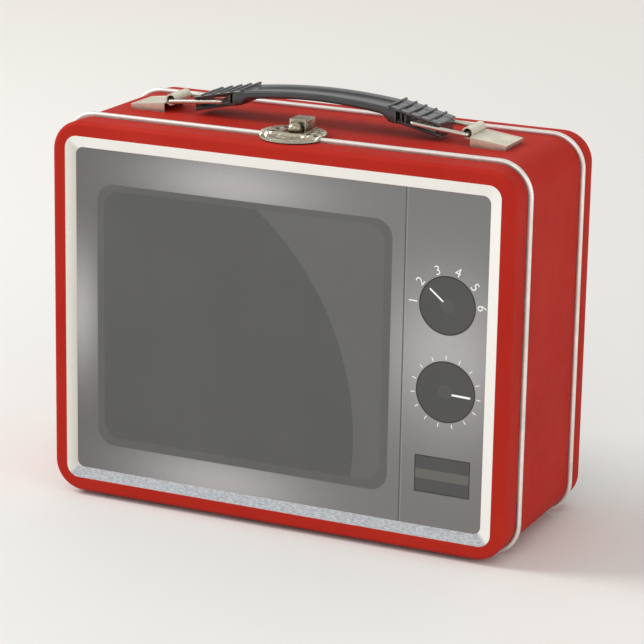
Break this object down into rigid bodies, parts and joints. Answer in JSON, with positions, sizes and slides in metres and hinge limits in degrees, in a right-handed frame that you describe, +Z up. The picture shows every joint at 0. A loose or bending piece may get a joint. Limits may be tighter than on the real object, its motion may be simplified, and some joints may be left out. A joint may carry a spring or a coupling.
{
  "type": "lunch box",
  "caption": "Rounded metal lunch box with a shallow hinged lid, rolled bare edges, a framed printed panel, a top latch and a collapsible ribbed handle on wire bails.",
  "frame": {"origin": "on the table plane, under the middle of the case", "axes": "+Z up, -Y towards the lid's printed face, +X to the right as seen from the lid's face"},
  "size_m": [0.23, 0.096, 0.194],
  "materials": {
    "red_paint": "semi-gloss red print on tinplate",
    "bare_edge": "bare rolled tinplate",
    "bare_frame": "bare pressed tinplate",
    "printed_panel": "grey printed panel, satin varnish",
    "rear_panel": "plain grey print, satin varnish",
    "inner_tin": "bare tinplate",
    "latch_metal": "nickel plate",
    "nickel_sheet": "nickel plate",
    "nickel_wire": "bright nickel plate",
    "hinge_steel": "zinc plate",
    "black_plastic": "moulded"
  },
  "bodies": {
    "case": {"body_band": "red_paint", "front_bead": "bare_edge", "front_collar": "inner_tin", "rear_cover": "red_paint", "rear_bead": "bare_edge", "rear_frame": "bare_frame", "rear_panel": "rear_panel", "left_body_leaf": "hinge_steel", "right_body_leaf": "hinge_steel", "body_leaf_rivets": "hinge_steel", "hinge_pins": "hinge_steel", "latch_box": "latch_metal", "latch_box_rivet": "hinge_steel", "latch_pin": "hinge_steel", "left_bracket": "nickel_sheet", "right_bracket": "nickel_sheet"},
    "lid": {"lid_shell": "red_paint", "front_frame": "bare_frame", "front_panel": "printed_panel", "left_lid_leaf": "hinge_steel", "right_lid_leaf": "hinge_steel", "lid_leaf_rivets": "hinge_steel", "latch_plate": "latch_metal", "latch_plate_rivets": "hinge_steel"},
    "catch": {"latch_catch": "latch_metal"},
    "left_bail": {"left_bail": "nickel_wire"},
    "right_bail": {"right_bail": "nickel_wire"},
    "grip": {"grip": "black_plastic"}
  },
  "joints": [
    {"name": "lid_hinge", "type": "hinge", "parent": "case", "child": "lid", "pos_m": [0, -0.03555, 0.0016], "axis": [1, 0, 0], "range_deg": [0, 110]},
    {"name": "catch_hinge", "type": "hinge", "parent": "case", "child": "catch", "pos_m": [0, -0.0229, 0.1826], "axis": [-1, 0, 0], "range_deg": [0, 15]},
    {"name": "handle_lift", "type": "hinge", "parent": "case", "child": "left_bail", "pos_m": [-0.0735, 0, 0.18306], "axis": [0, -1, 0], "range_deg": [0, 42.8]},
    {"name": "right_bail_hinge", "type": "hinge", "parent": "case", "child": "right_bail", "pos_m": [0.0735, 0, 0.18306], "axis": [0, 1, 0], "range_deg": [0, 42.8]},
    {"name": "grip_slide", "type": "slide", "parent": "case", "child": "grip", "axis": [0, 0, 1], "range_m": [0, 0.01926]}
  ],
  "couplings": [
    {"joint": "right_bail_hinge", "follows": "handle_lift", "ratio": 1},
    {"joint": "grip_slide", "follows": "handle_lift", "m_per_rad": 0.025517}
  ]
}
